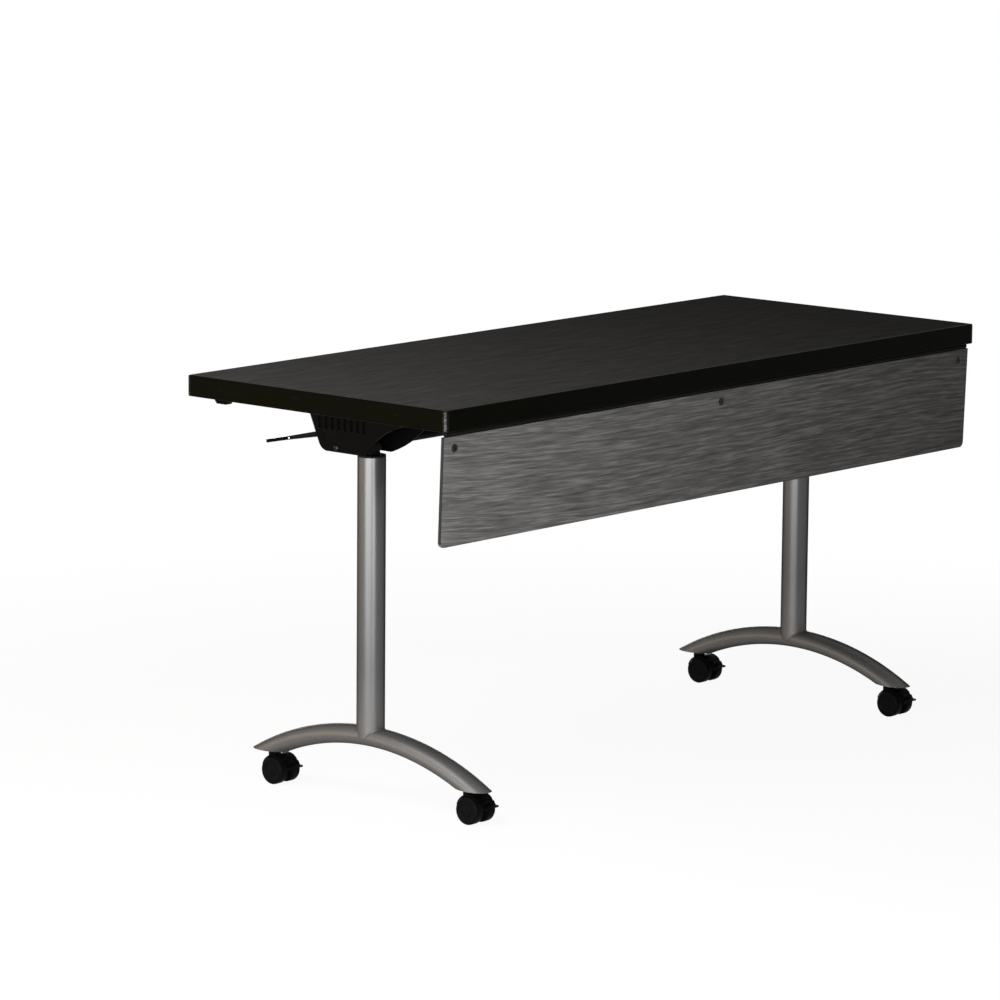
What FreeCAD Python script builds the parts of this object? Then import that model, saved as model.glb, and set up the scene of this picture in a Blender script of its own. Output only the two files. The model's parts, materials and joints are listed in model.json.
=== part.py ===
import FreeCAD, Part
import math
import os

# Flip-top training table on casters, with a hinged modesty panel.
# Millimetres. X runs along the table, -Y is the side of the modesty panel, +Y the user's side, Z is up.
# The origin is on the floor under the middle of the top.

# Clearances
RUNNING_FIT = 0.05
HOLE_FIT = 0.10
LATCH_GAP = 0.4
SWIVEL_GAP = 1.0
HOLE_OVERRUN = 1.0

# Table top
TOP_LENGTH = 1524.0
TOP_DEPTH = 610.0
TOP_HEIGHT = 749.0
TOP_THICKNESS = 38.0
TOP_CORNER = 5.0
EDGE_WIDTH = 3.5
EDGE_ROUND = 2.5
BARB_DEPTH = 8.0
BARB_WIDTH = 3.0
LAMINATE = 1.0
BACKER = 0.8

# Feet: an oval tube bent to an arc in the YZ plane, cut flat near its ends
LEG_INSET = 150.0
FOOT_TOP = 135.0
FOOT_ARC = 549.0
FOOT_WIDTH = 48.0
FOOT_HEIGHT = 35.0
FOOT_WALL = 2.5
FOOT_CUT = 58.5
FOOT_SWEEP = 34.0
END_PLATE = 3.0

# Columns and leg heads
COLUMN_DIAMETER = 50.8
COLUMN_WALL = 2.0
COLUMN_DROP = 23.0
SPIGOT_LENGTH = 26.0
CAP_THICKNESS = 3.0
LUG_WIDTH = 24.0
LUG_STEM = 30.0
HUB_RADIUS = 17.0
SECTOR_RADIUS = 40.0
SECTOR_WIDTH = 12.0
SECTOR_MARGIN = 20.0
NOTCH_WIDTH = 9.0
NOTCH_DEPTH = 4.5
SET_SCREW_DIAMETER = 6.0
SET_SCREW_LENGTH = 5.5

# Tilt pivot and latch, hung below the underside of the top
PIVOT_Y = 12.0
PIVOT_DROP = 68.0
PIVOT_TUBE = 22.0
PIVOT_TUBE_WALL = 2.0
BUSH_WALL = 2.0
TILT_ANGLE = 90.0
LATCH_ANGLE = 25.0

# Tilt housings; the second number of a point is its drop below the underside of the top
HOUSING_WIDTH = 74.0
HOUSING_WALL = 4.5
HOUSING_PLATE = 5.0
HOUSING_HEIGHT = 85.5
HOUSING_FRONT = -146.0
HOUSING_CORNER = 22.0
CORNER_Y = 72.0
BACK_SLANT = 24.0
HOUSING_LIP = 58.0
SWEEP_FOOT = (-17.0, HOUSING_HEIGHT)
SWEEP_MIDDLE = (-44.0, 55.0)
SWEEP_END = (-98.0, 26.5)
NOSE_FOOT = (-16.0, HOUSING_HEIGHT)
NOSE_MIDDLE = (-55.0, 66.5)
NOSE_END = (-92.0, 38.5)
BOSS_WALL = 3.0
BOSS_GAP = 1.5
FLUTE_COUNT = 8
FLUTE_PITCH = 15.0
FLUTE_WIDTH = 9.0
FLUTE_DEPTH = 3.0
FLUTE_BOTTOM = 46.0
FLUTE_TOP = 7.0
FLUTE_FIRST_Y = -16.0
COVER_SCREW_Y = 51.0
COVER_SCREW_DROP = 77.5
HOUSING_SCREW_X = 22.0
HOUSING_SCREWS_Y = (-45.0, 85.0)

# Release shaft and levers
SHAFT_Y = 60.0
SHAFT_DROP = 25.0
SHAFT_DIAMETER = 10.0
LEVER_WIDTH = 8.0
LEVER_HEIGHT = 12.0
LEVER_TIP = 6.5
LEVER_HUB = 20.0
ELBOW_Y = 82.0
ELBOW_DROP = 55.5
LEVER_SLOPE = -12.0
LEVER_ARM = 121.5
LEVER_TRAVEL = 12.0
TONGUE_HEIGHT = 3.0
TONGUE_LENGTH = 38.0
GRIP_WIDTH = 26.0
GRIP_HEIGHT = 6.0
GRIP_LENGTH = 48.0
SLOT_CLEARANCE = 2.0
TOOTH_LENGTH = 16.0
TOOTH_HEIGHT = 7.0
SHAFT_BOSS = 10.0
GRIP_CORNER = 10.0
SPRING_WIRE = 1.5
SPRING_COIL = 7.0
SPRING_PIN = 4.0
SPRING_GAP = 1.0

# Nesting bumpers
BUMPER_INSET = 22.0
BUMPER_LENGTH = 32.0
BUMPER_WIDTH = 14.0
BUMPER_HEIGHT = 9.0
BUMPER_SETBACK = 69.0
BUMPER_CHAMFER = 5.0
BUMPER_BORE = 4.0

# Modesty panel and its continuous hinge
PANEL_END_GAP = 5.0
PANEL_HEIGHT = 191.5
PANEL_THICKNESS = 6.0
PANEL_SETBACK = 8.5
PANEL_HANG = 2.0
PANEL_CORNER = 10.0
PANEL_SCREW_INSET = 28.0
PANEL_SCREW_DROP = 20.5
HINGE_INSET = 6.0
LEAF_THICKNESS = 1.5
LEAF_HEIGHT = 38.0
LEAF_DEPTH = 30.0
PIN_DIAMETER = 4.0
KNUCKLE_COUNT = 25
KNUCKLE_GAP = 0.5
BRACKET_SCREWS = 7
BRACKET_SCREW_Y = 18.0

# Casters
CASTER_Y = 233.0
CASTER_TRAIL = 15.0
WHEEL_DIAMETER = 50.0
WHEEL_WIDTH = 18.0
WHEEL_SPACING = 34.0
WHEEL_CHAMFER = 2.0
WHEEL_DISH = 1.5
WHEEL_CAP = 16.0
WHEEL_RIM = 6.0
AXLE_DIAMETER = 8.0
AXLE_SKIN = 4.0
HOOD_GAP = 0.8
HOOD_SKIN = 2.5
HOOD_WIDTH = 40.0
HOOD_SKIRT = 8.0
WEB_GAP = 1.0
HOOD_BOSS = 22.0
HOOD_HUB = 18.0
HOOD_EDGE_ANGLE = 136.0
STEM_DIAMETER = 11.0
STEM_SEAT = 10.0
STEM_END_GAP = 2.0
SOCKET_WALL = 2.0
SOCKET_FLANGE = 22.0
SOCKET_FLANGE_HEIGHT = 1.5
SOCKET_LENGTH = 15.0
SOCKET_ROOF = 2.0
PEDAL_ANGLE = 150.0
PEDAL_PIN = 4.0
PEDAL_EAR = 9.0
PEDAL_KNEE = 28.0
PEDAL_REACH = 36.0
PEDAL_DROP = 8.0
PEDAL_TAB = 3.0
PEDAL_TILT = 1.0
PEDAL_WIDTH = 40.0

# Screws
SCREW_DIAMETER = 5.0
SCREW_HEAD = 10.0
SCREW_HEAD_HEIGHT = 2.5
WOOD_SCREW_LENGTH = 18.0
NUT_FLATS = 8.0
NUT_HEIGHT = 4.0

# Worked out from the sizes above
UNDERSIDE = TOP_HEIGHT - TOP_THICKNESS
PIVOT_Z = UNDERSIDE - PIVOT_DROP
COLUMN_TOP = PIVOT_Z - COLUMN_DROP
COLUMN_RADIUS = COLUMN_DIAMETER / 2
LEG_X = TOP_LENGTH / 2 - LEG_INSET
FOOT_CENTRE_Z = FOOT_TOP - FOOT_ARC
TUBE_RADIUS = PIVOT_TUBE / 2
BUSH_RADIUS = TUBE_RADIUS + RUNNING_FIT + BUSH_WALL
BOSS_RADIUS = BUSH_RADIUS + BOSS_WALL
BOSS_FACE = LUG_WIDTH / 2 + BOSS_GAP
CHEEK_IN = HOUSING_WIDTH / 2 - HOUSING_WALL
CHEEK_OUT = HOUSING_WIDTH / 2
HOUSING_BOTTOM = UNDERSIDE - HOUSING_HEIGHT
SHAFT_Z = UNDERSIDE - SHAFT_DROP
LEVER_ELBOW = (ELBOW_Y, UNDERSIDE - ELBOW_DROP)
PANEL_LENGTH = TOP_LENGTH - 2 * PANEL_END_GAP
PANEL_FRONT = PANEL_SETBACK - TOP_DEPTH / 2
PANEL_BACK = PANEL_FRONT + PANEL_THICKNESS
BARREL_RADIUS = PANEL_THICKNESS / 2 + LEAF_THICKNESS
PIN_Y = PANEL_FRONT + PANEL_THICKNESS / 2
PIN_Z = UNDERSIDE - BARREL_RADIUS
PANEL_TOP = PIN_Z - BARREL_RADIUS - KNUCKLE_GAP
PANEL_BOTTOM = PANEL_TOP - PANEL_HEIGHT
PANEL_SCREW_X = PANEL_LENGTH / 2 - PANEL_SCREW_INSET
PANEL_SCREW_XS = (-PANEL_SCREW_X, 0.0, PANEL_SCREW_X)
PANEL_SCREW_Z = PANEL_TOP - PANEL_SCREW_DROP
HINGE_LENGTH = PANEL_LENGTH - 2 * HINGE_INSET
KNUCKLE_PITCH = HINGE_LENGTH / KNUCKLE_COUNT
HOOD_TOP = FOOT_CUT - SOCKET_FLANGE_HEIGHT - SWIVEL_GAP
SOCKET_END = FOOT_CUT + SOCKET_LENGTH - SOCKET_ROOF
WHEEL_RADIUS = WHEEL_DIAMETER / 2
WHEEL_INNER = (WHEEL_SPACING - WHEEL_WIDTH) / 2
WHEEL_OUTER = WHEEL_INNER + WHEEL_WIDTH
SIDES = {"left": -1, "right": 1}


def vec(x, y, z):
    return FreeCAD.Vector(x, y, z)


def box(x0, x1, y0, y1, z0, z1):
    return Part.makeBox(x1 - x0, y1 - y0, z1 - z0, vec(x0, y0, z0))


def rod_x(radius, x0, x1, y, z):
    return Part.makeCylinder(radius, x1 - x0, vec(x0, y, z), vec(1, 0, 0))


def rod_y(radius, y0, y1, x, z):
    return Part.makeCylinder(radius, y1 - y0, vec(x, y0, z), vec(0, 1, 0))


def rod_z(radius, z0, z1, x, y):
    return Part.makeCylinder(radius, z1 - z0, vec(x, y, z0), vec(0, 0, 1))


def slab_x(points, x0, x1):
    """A prism along X over a closed outline of (y, z) corners."""
    corners = [vec(x0, y, z) for y, z in points]
    face = Part.Face(Part.makePolygon(corners + corners[:1]))
    return face.extrude(vec(x1 - x0, 0, 0))


def outline_slab(runs, x0, x1):
    """A prism along X over a closed outline of (y, z) runs: two points make a line, three an arc."""
    edges = []
    for run in runs:
        points = [vec(x0, y, z) for y, z in run]
        curve = Part.Arc(*points) if len(points) == 3 else Part.LineSegment(*points)
        edges.append(curve.toShape())
    return Part.Face(Part.Wire(edges)).extrude(vec(x1 - x0, 0, 0))


def taper_x(start, end, start_height, end_height, x0, x1):
    """A straight flat bar in the YZ plane from start to end, with a height at each end."""
    (y0, z0), (y1, z1) = start, end
    length = math.hypot(y1 - y0, z1 - z0)
    side_y = -(z1 - z0) / length / 2
    side_z = (y1 - y0) / length / 2
    points = [(y0 + side_y * start_height, z0 + side_z * start_height)]
    points += [(y1 + side_y * end_height, z1 + side_z * end_height)]
    points += [(y1 - side_y * end_height, z1 - side_z * end_height)]
    points += [(y0 - side_y * start_height, z0 - side_z * start_height)]
    return slab_x(points, x0, x1)


def bar_x(start, end, height, x0, x1):
    return taper_x(start, end, height, height, x0, x1)


def round_plate(length, depth, corner, z0, z1):
    """A plate about the Z axis with its upright corners rounded."""
    plate = box(-length / 2, length / 2, -depth / 2, depth / 2, z0, z1)
    upright = [edge for edge in plate.Edges if edge.BoundBox.ZLength > (z1 - z0) / 2]
    return plate.makeFillet(corner, upright)


def polar(centre, radius, degrees):
    angle = math.radians(degrees)
    return (centre[0] + radius * math.cos(angle), centre[1] + radius * math.sin(angle))


def fuse(shapes):
    return shapes[0].fuse(shapes[1:]).removeSplitter()


def save(name, shapes):
    shape = shapes[0] if len(shapes) == 1 else Part.makeCompound(shapes)
    shape.exportStep(os.path.join("parts", name + ".step"))


def leg_place(shape, side):
    """Moves a shape modelled about X = 0, with +X outward, to the leg on that side."""
    placed = shape.mirror(vec(0, 0, 0), vec(1, 0, 0)) if side < 0 else shape.copy()
    placed.translate(vec(side * LEG_X, 0, 0))
    return placed


def screw(point, direction, length):
    """A pan-head screw with its head on the surface at point."""
    head = Part.makeCylinder(SCREW_HEAD / 2, SCREW_HEAD_HEIGHT, point, direction * -1)
    shank = Part.makeCylinder(SCREW_DIAMETER / 2, length, point, direction)
    return fuse([head, shank])


def screw_hole(point, direction, length):
    start = point - direction * HOLE_OVERRUN
    reach = length + 2 * HOLE_OVERRUN
    return Part.makeCylinder(SCREW_DIAMETER / 2 + HOLE_FIT, reach, start, direction)


# Table top
def rim_plate(inset, corner, z0, z1):
    return round_plate(TOP_LENGTH - 2 * inset, TOP_DEPTH - 2 * inset, corner, z0, z1)


def edge_barb():
    middle = (UNDERSIDE + TOP_HEIGHT) / 2
    low = middle - BARB_WIDTH / 2
    high = middle + BARB_WIDTH / 2
    outer = rim_plate(EDGE_WIDTH, TOP_CORNER - EDGE_WIDTH, low, high)
    inset = EDGE_WIDTH + BARB_DEPTH
    length = TOP_LENGTH / 2 - inset
    depth = TOP_DEPTH / 2 - inset
    return outer.cut(box(-length, length, -depth, depth, low, high))


def edge_moulding():
    outer = rim_plate(0, TOP_CORNER, UNDERSIDE, TOP_HEIGHT)
    rims = [edge for edge in outer.Edges if edge.BoundBox.ZLength < TOP_THICKNESS / 2]
    rounded = outer.makeFillet(EDGE_ROUND, rims)
    ring = rounded.cut(rim_plate(EDGE_WIDTH, TOP_CORNER - EDGE_WIDTH, UNDERSIDE, TOP_HEIGHT))
    return fuse([ring, edge_barb()])


def top_layer(z0, z1, holes):
    plate = rim_plate(EDGE_WIDTH, TOP_CORNER - EDGE_WIDTH, z0, z1)
    return plate.cut(holes) if holes else plate


# Feet and columns
def foot_solid(wall):
    """The oval section, less a wall, revolved about the arc's axis."""
    axis = vec(0, 0, FOOT_CENTRE_Z)
    centre = axis + vec(0, 0, FOOT_ARC - FOOT_HEIGHT / 2)
    wide = centre + vec(FOOT_WIDTH / 2 - wall, 0, 0)
    tall = centre + vec(0, 0, FOOT_HEIGHT / 2 - wall)
    section = Part.Face(Part.Wire([Part.Ellipse(wide, tall, centre).toShape()]))
    section.rotate(axis, vec(1, 0, 0), -FOOT_SWEEP)
    return section.revolve(axis, vec(1, 0, 0), 2 * FOOT_SWEEP)


def foot():
    below = box(-FOOT_WIDTH, FOOT_WIDTH, -FOOT_ARC, FOOT_ARC, -FOOT_ARC, FOOT_CUT)
    return foot_solid(0).cut(foot_solid(FOOT_WALL)).cut(below)


def foot_end_plates():
    layer = box(-FOOT_WIDTH, FOOT_WIDTH, -FOOT_ARC, FOOT_ARC, FOOT_CUT, FOOT_CUT + END_PLATE)
    plates = foot_solid(FOOT_WALL).common(layer)
    for y in (-CASTER_Y, CASTER_Y):
        plates = plates.cut(rod_z(socket_radius() + HOLE_FIT, FOOT_CUT, FOOT_CUT + END_PLATE, 0, y))
    return plates.Solids


def socket_radius():
    return STEM_DIAMETER / 2 + RUNNING_FIT + SOCKET_WALL


def caster_socket(y):
    sleeve = rod_z(socket_radius(), FOOT_CUT, FOOT_CUT + SOCKET_LENGTH, 0, y)
    flange = rod_z(SOCKET_FLANGE / 2, FOOT_CUT - SOCKET_FLANGE_HEIGHT, FOOT_CUT, 0, y)
    bore = rod_z(STEM_DIAMETER / 2 + RUNNING_FIT, FOOT_CUT - SOCKET_FLANGE_HEIGHT, SOCKET_END, 0, y)
    return fuse([sleeve, flange]).cut(bore)


def column():
    bottom = FOOT_TOP - FOOT_HEIGHT / 2
    tube = rod_z(COLUMN_RADIUS, bottom, COLUMN_TOP, 0, 0)
    hollow = rod_z(COLUMN_RADIUS - COLUMN_WALL, bottom, COLUMN_TOP, 0, 0)
    return tube.cut(hollow).cut(foot_solid(0))


# Leg heads and pivot
def latch_sector():
    """A pie slice about the pivot that reaches past both latch notches."""
    pivot = (PIVOT_Y, PIVOT_Z)
    first = LATCH_ANGLE - SECTOR_MARGIN
    last = LATCH_ANGLE + TILT_ANGLE + SECTOR_MARGIN
    x = -SECTOR_WIDTH / 2
    rim = [vec(x, *polar(pivot, SECTOR_RADIUS, a)) for a in (first, (first + last) / 2, last)]
    centre = vec(x, *pivot)
    edges = [Part.LineSegment(centre, rim[0]).toShape(), Part.Arc(*rim).toShape()]
    edges.append(Part.LineSegment(rim[2], centre).toShape())
    slice_x = Part.Face(Part.Wire(edges)).extrude(vec(SECTOR_WIDTH, 0, 0))
    for angle in (LATCH_ANGLE, LATCH_ANGLE + TILT_ANGLE):
        root = polar(pivot, SECTOR_RADIUS - NOTCH_DEPTH, angle)
        mouth = polar(pivot, SECTOR_RADIUS + NOTCH_DEPTH, angle)
        slice_x = slice_x.cut(bar_x(root, mouth, NOTCH_WIDTH, x, -x))
    return slice_x


def set_screw(radius, length):
    start = PIVOT_Y - TUBE_RADIUS - RUNNING_FIT
    return rod_y(radius, start - length, start, 0, PIVOT_Z)


def leg_head():
    inside = COLUMN_RADIUS - COLUMN_WALL - HOLE_FIT
    spigot = rod_z(inside, COLUMN_TOP - SPIGOT_LENGTH, COLUMN_TOP, 0, 0)
    cap = rod_z(COLUMN_RADIUS, COLUMN_TOP, COLUMN_TOP + CAP_THICKNESS, 0, 0)
    half = LUG_WIDTH / 2
    front = (PIVOT_Y - LUG_STEM) / 2
    stem = box(-half, half, front, front + LUG_STEM, COLUMN_TOP, PIVOT_Z)
    hub = rod_x(HUB_RADIUS, -half, half, PIVOT_Y, PIVOT_Z)
    head = fuse([spigot, cap, stem, hub, latch_sector()])
    head = head.cut(rod_x(TUBE_RADIUS + RUNNING_FIT, -half, half, PIVOT_Y, PIVOT_Z))
    return head.cut(set_screw(SET_SCREW_DIAMETER / 2 + HOLE_FIT, HUB_RADIUS))


def pivot_tube():
    reach = LEG_X + CHEEK_IN - RUNNING_FIT
    outer = rod_x(TUBE_RADIUS, -reach, reach, PIVOT_Y, PIVOT_Z)
    return outer.cut(rod_x(TUBE_RADIUS - PIVOT_TUBE_WALL, -reach, reach, PIVOT_Y, PIVOT_Z))


def pivot_bush(x0, x1):
    outer = rod_x(BUSH_RADIUS, x0, x1, PIVOT_Y, PIVOT_Z)
    return outer.cut(rod_x(TUBE_RADIUS + RUNNING_FIT, x0, x1, PIVOT_Y, PIVOT_Z))


# Tilt housings
def below_top(point):
    return (point[0], UNDERSIDE - point[1])


def corner_arc(inset):
    """The round corner from the slanted back wall to the floor, set in by a wall or not."""
    centre = (CORNER_Y, HOUSING_BOTTOM + HOUSING_CORNER)
    angles = (-BACK_SLANT, -(BACK_SLANT + 90) / 2, -90)
    return [polar(centre, HOUSING_CORNER - inset, angle) for angle in angles]


def back_y(inset, z):
    """Where the slanted back wall, set in by a wall or not, is at a height."""
    start = corner_arc(inset)[0]
    return start[0] + (z - start[1]) * math.tan(math.radians(BACK_SLANT))


def housing_side(front_points, x0, x1):
    """One side of the housing: slanted back, round corner, floor, an arc in front, flat top."""
    corner = corner_arc(0)
    front = [below_top(point) for point in front_points]
    back_top = (back_y(0, UNDERSIDE), UNDERSIDE)
    front_top = (HOUSING_FRONT, UNDERSIDE)
    runs = [(back_top, corner[0]), corner, (corner[2], front[0]), front]
    runs += [(front[2], front_top), (front_top, back_top)]
    return outline_slab(runs, x0, x1)


def housing_hollow():
    """The room inside: shut above, behind and under the back, open below and in front."""
    roof = UNDERSIDE - HOUSING_PLATE
    floor = HOUSING_BOTTOM + HOUSING_WALL
    corner = corner_arc(HOUSING_WALL)
    back_top = (back_y(HOUSING_WALL, roof), roof)
    front_low = (HOUSING_FRONT - HOUSING_WALL, floor)
    front_high = (HOUSING_FRONT - HOUSING_WALL, roof)
    runs = [(back_top, corner[0]), corner, (corner[2], front_low)]
    runs += [(front_low, front_high), (front_high, back_top)]
    room = outline_slab(runs, -CHEEK_IN, CHEEK_IN)
    below = box(-CHEEK_IN, CHEEK_IN, HOUSING_FRONT, HOUSING_LIP, HOUSING_BOTTOM, floor)
    return room.fuse(below)


def lever_slot():
    travel = math.radians(LEVER_TRAVEL)
    rise_y = LEVER_ELBOW[0] - SHAFT_Y
    rise_z = LEVER_ELBOW[1] - SHAFT_Z
    lifted = SHAFT_Z + rise_y * math.sin(travel) + rise_z * math.cos(travel)
    room = LEVER_HEIGHT / 2 + SLOT_CLEARANCE
    fall = math.tan(math.radians(LEVER_SLOPE)) * (back_y(0, LEVER_ELBOW[1]) - LEVER_ELBOW[0])
    half = LEVER_WIDTH / 2 + SLOT_CLEARANCE
    low = LEVER_ELBOW[1] + fall - room
    return box(-half, half, HOUSING_LIP, back_y(0, UNDERSIDE), low, lifted + room)


def flute(y):
    """One upright groove in the outer cheek, round at its lower end."""
    half = FLUTE_WIDTH / 2
    x0 = CHEEK_OUT - FLUTE_DEPTH
    low = UNDERSIDE - FLUTE_BOTTOM + half
    groove = box(x0, CHEEK_OUT, y - half, y + half, low, UNDERSIDE - FLUTE_TOP)
    return groove.fuse(rod_x(half, x0, CHEEK_OUT, y, low))


def housing_screw_points(side):
    roof = UNDERSIDE - HOUSING_PLATE
    points = []
    for y in HOUSING_SCREWS_Y:
        for x in (-HOUSING_SCREW_X, HOUSING_SCREW_X):
            points.append(vec(side * LEG_X + x, y, roof))
    return points


def cover_screw_point():
    return vec(CHEEK_OUT, COVER_SCREW_Y, UNDERSIDE - COVER_SCREW_DROP)


def tilt_housing():
    """An open shell whose outer cheek sweeps in at the front, while the inner one has a full nose."""
    swept = (SWEEP_FOOT, SWEEP_MIDDLE, SWEEP_END)
    nosed = (NOSE_FOOT, NOSE_MIDDLE, NOSE_END)
    shell = housing_side(swept, -CHEEK_IN, CHEEK_OUT).cut(housing_hollow())
    inner_cheek = housing_side(nosed, -CHEEK_OUT, -CHEEK_IN)
    outer_boss = rod_x(BOSS_RADIUS, BOSS_FACE, CHEEK_IN, PIVOT_Y, PIVOT_Z)
    inner_boss = rod_x(BOSS_RADIUS, -CHEEK_IN, -BOSS_FACE, PIVOT_Y, PIVOT_Z)
    screw_depth = CHEEK_OUT - WOOD_SCREW_LENGTH
    screw_boss = rod_x(SCREW_HEAD / 2, screw_depth, CHEEK_IN, COVER_SCREW_Y, cover_screw_point().z)
    shaft_boss = rod_x(SHAFT_DIAMETER / 2 + BOSS_WALL, CHEEK_IN - SHAFT_BOSS, CHEEK_IN, SHAFT_Y, SHAFT_Z)
    shell = fuse([shell, inner_cheek, outer_boss, inner_boss, screw_boss, shaft_boss])
    cuts = [flute(FLUTE_FIRST_Y + i * FLUTE_PITCH) for i in range(FLUTE_COUNT)]
    cuts.append(lever_slot())
    cuts.append(rod_x(BUSH_RADIUS + HOLE_FIT, BOSS_FACE, CHEEK_IN, PIVOT_Y, PIVOT_Z))
    cuts.append(rod_x(BUSH_RADIUS + HOLE_FIT, -CHEEK_OUT, -BOSS_FACE, PIVOT_Y, PIVOT_Z))
    cuts.append(rod_x(SHAFT_DIAMETER / 2 + RUNNING_FIT, -CHEEK_OUT, CHEEK_IN, SHAFT_Y, SHAFT_Z))
    cuts.append(screw_hole(cover_screw_point(), vec(-1, 0, 0), WOOD_SCREW_LENGTH))
    cuts += [screw_hole(point, vec(0, 0, 1), HOUSING_PLATE) for point in housing_screw_points(0)]
    return shell.cut(cuts)


# Release shaft, levers and springs
def release_shaft():
    reach = LEG_X + CHEEK_IN - RUNNING_FIT
    return rod_x(SHAFT_DIAMETER / 2, -reach, reach, SHAFT_Y, SHAFT_Z)


def arm_end():
    return polar(LEVER_ELBOW, LEVER_ARM, LEVER_SLOPE)


def release_lever():
    """A flat bell crank: hub on the shaft, latch tooth towards the pivot, arm out to the user."""
    half = LEVER_WIDTH / 2
    pivot = (PIVOT_Y, PIVOT_Z)
    shaft = (SHAFT_Y, SHAFT_Z)
    tip = polar(pivot, SECTOR_RADIUS + LATCH_GAP, LATCH_ANGLE)
    root = polar(pivot, SECTOR_RADIUS + TOOTH_LENGTH, LATCH_ANGLE)
    tongue_end = polar(arm_end(), TONGUE_LENGTH, LEVER_SLOPE)
    pieces = [rod_x(LEVER_HUB / 2, -half, half, *shaft)]
    pieces.append(bar_x(tip, root, TOOTH_HEIGHT, -half, half))
    for start, end in ((shaft, root), (root, LEVER_ELBOW)):
        pieces.append(bar_x(start, end, LEVER_HEIGHT, -half, half))
    pieces.append(taper_x(LEVER_ELBOW, arm_end(), LEVER_HEIGHT, LEVER_TIP, -half, half))
    for bend in (root, LEVER_ELBOW):
        pieces.append(rod_x(LEVER_HEIGHT / 2, -half, half, *bend))
    pieces.append(bar_x(arm_end(), tongue_end, TONGUE_HEIGHT, -half, half))
    pin_end = half + SPRING_GAP + SPRING_COIL
    pieces.append(rod_x(SPRING_PIN / 2, half, pin_end, *LEVER_ELBOW))
    return fuse(pieces).cut(rod_x(SHAFT_DIAMETER / 2 + RUNNING_FIT, -half, half, *shaft))


def lever_grip():
    """A flat paddle over the lever's tongue, with its two outer corners rounded."""
    half = GRIP_WIDTH / 2
    paddle = box(-half, half, 0, GRIP_LENGTH, -GRIP_HEIGHT / 2, GRIP_HEIGHT / 2)
    outer = [edge for edge in paddle.Edges if edge.BoundBox.ZLength > GRIP_HEIGHT / 2]
    outer = [edge for edge in outer if edge.CenterOfMass.y > GRIP_LENGTH / 2]
    paddle = paddle.makeFillet(GRIP_CORNER, outer)
    pocket_x = LEVER_WIDTH / 2 + HOLE_FIT
    pocket_z = TONGUE_HEIGHT / 2 + HOLE_FIT
    paddle = paddle.cut(box(-pocket_x, pocket_x, 0, TONGUE_LENGTH + HOLE_FIT, -pocket_z, pocket_z))
    paddle.rotate(vec(0, 0, 0), vec(1, 0, 0), LEVER_SLOPE)
    paddle.translate(vec(0, *arm_end()))
    return paddle


def latch_spring():
    """A close-wound torsion spring on the shaft, one leg on the housing, one on the lever's pin."""
    x0 = LEVER_WIDTH / 2 + SPRING_GAP
    x1 = x0 + SPRING_COIL
    inner = SHAFT_DIAMETER / 2 + RUNNING_FIT
    coil = rod_x(inner + SPRING_WIRE, x0, x1, SHAFT_Y, SHAFT_Z)
    coil = coil.cut(rod_x(inner, x0, x1, SHAFT_Y, SHAFT_Z))
    mean = inner + SPRING_WIRE / 2
    roof = UNDERSIDE - HOUSING_PLATE
    wire_x = (x1 - SPRING_WIRE, x1)
    held_leg = bar_x((SHAFT_Y - mean, SHAFT_Z), (SHAFT_Y - mean, roof), SPRING_WIRE, *wire_x)
    end = (LEVER_ELBOW[0] + SPRING_PIN / 2, LEVER_ELBOW[1] + SPRING_PIN / 2)
    lever_leg = bar_x((SHAFT_Y + mean, SHAFT_Z), end, SPRING_WIRE, *wire_x)
    return fuse([coil, held_leg, lever_leg])


# Nesting bumpers
def bumper_places():
    x = TOP_LENGTH / 2 - BUMPER_INSET
    y = TOP_DEPTH / 2 - BUMPER_SETBACK
    return [(-x, y), (x, y)]


def nesting_bumper(x, y):
    half_x = BUMPER_WIDTH / 2
    half_y = BUMPER_LENGTH / 2
    bottom = UNDERSIDE - BUMPER_HEIGHT
    block = box(x - half_x, x + half_x, y - half_y, y + half_y, bottom, UNDERSIDE)
    low = [edge for edge in block.Edges if edge.BoundBox.ZMax < UNDERSIDE - BUMPER_HEIGHT / 2]
    ends = [edge for edge in low if edge.BoundBox.XLength > BUMPER_WIDTH / 2]
    block = block.makeChamfer(BUMPER_CHAMFER, ends)
    block = block.cut(rod_z(SCREW_HEAD / 2 + HOLE_FIT, bottom, bottom + BUMPER_BORE, x, y))
    return block.cut(screw_hole(bumper_screw_point(x, y), vec(0, 0, 1), BUMPER_HEIGHT))


def bumper_screw_point(x, y):
    return vec(x, y, UNDERSIDE - BUMPER_HEIGHT + BUMPER_BORE)


# Modesty panel and its continuous hinge
def modesty_panel():
    half = PANEL_LENGTH / 2
    panel = box(-half, half, PANEL_FRONT, PANEL_BACK, PANEL_BOTTOM, PANEL_TOP)
    lower = [edge for edge in panel.Edges if edge.BoundBox.YLength > PANEL_THICKNESS / 2]
    lower = [edge for edge in lower if edge.CenterOfMass.z < PANEL_TOP - PANEL_CORNER]
    panel = panel.makeFillet(PANEL_CORNER, lower)
    points = [panel_screw_point(x) for x in PANEL_SCREW_XS]
    return panel.cut([screw_hole(point, vec(0, 1, 0), PANEL_THICKNESS) for point in points])


def panel_screw_point(x):
    return vec(x, PANEL_FRONT, PANEL_SCREW_Z)


def knuckle_spans(first):
    """X ranges of every second knuckle, with a running gap at each end."""
    spans = []
    for i in range(first, KNUCKLE_COUNT, 2):
        start = i * KNUCKLE_PITCH - HINGE_LENGTH / 2
        spans.append((start + KNUCKLE_GAP / 2, start + KNUCKLE_PITCH - KNUCKLE_GAP / 2))
    return spans


def hinge_pin():
    return rod_x(PIN_DIAMETER / 2, -HINGE_LENGTH / 2, HINGE_LENGTH / 2, PIN_Y, PIN_Z)


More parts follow.
